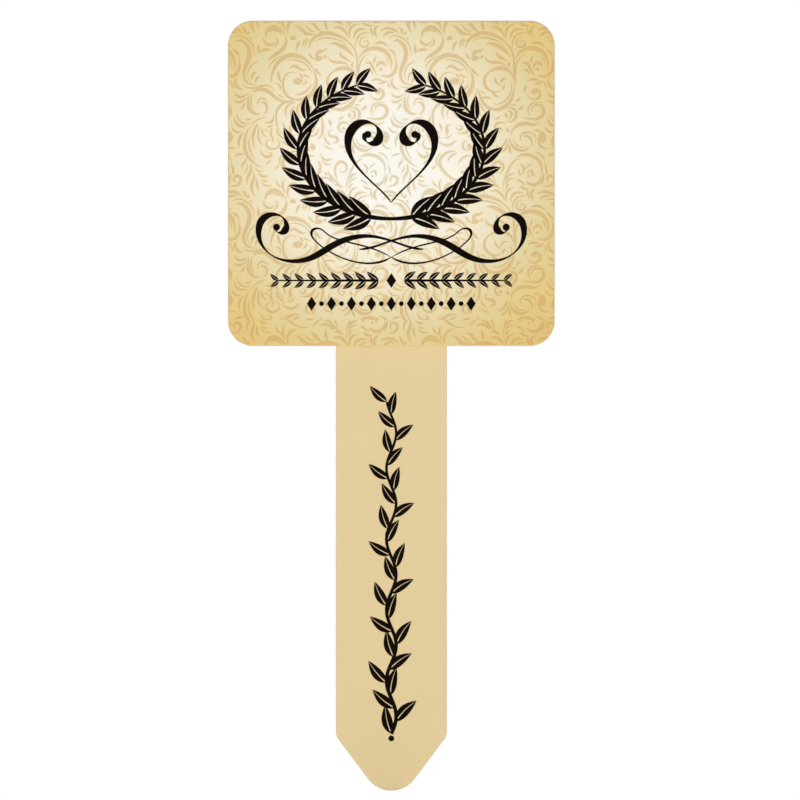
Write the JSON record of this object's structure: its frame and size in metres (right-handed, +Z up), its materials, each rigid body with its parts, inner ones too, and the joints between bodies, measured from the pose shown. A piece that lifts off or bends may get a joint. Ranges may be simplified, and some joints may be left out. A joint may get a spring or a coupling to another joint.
{
  "type": "memorial garden stake",
  "caption": "Flat garden marker: a square printed head plate with round corners, riveted to a plain pointed blade that is pushed into soil.",
  "frame": {"origin": "lowest point of the blade's rounded tip, on the blade's centre line and middle plane", "axes": "+Z up the blade to the head, +X to the right of someone facing the printed front, +Y from the front to the back"},
  "size_m": [0.1016, 0.0052, 0.2394],
  "materials": {
    "powder_coat": "tan satin powder coat on aluminium sheet",
    "printed_film": "cream and gold scroll print on self-adhesive film",
    "clear_film": "clear satin weather film",
    "foam": "grey acrylic foam bonding strip",
    "rivet_metal": "plain aluminium, formed"
  },
  "bodies": {
    "root": {"head_plate": "powder_coat", "face_film": "printed_film", "clear_laminate": "clear_film", "stake_blade": "powder_coat", "bond_strip_left": "foam", "bond_strip_right": "foam", "rivet_1": "rivet_metal", "rivet_2": "rivet_metal", "rivet_3": "rivet_metal", "rivet_4": "rivet_metal"}
  },
  "joints": []
}
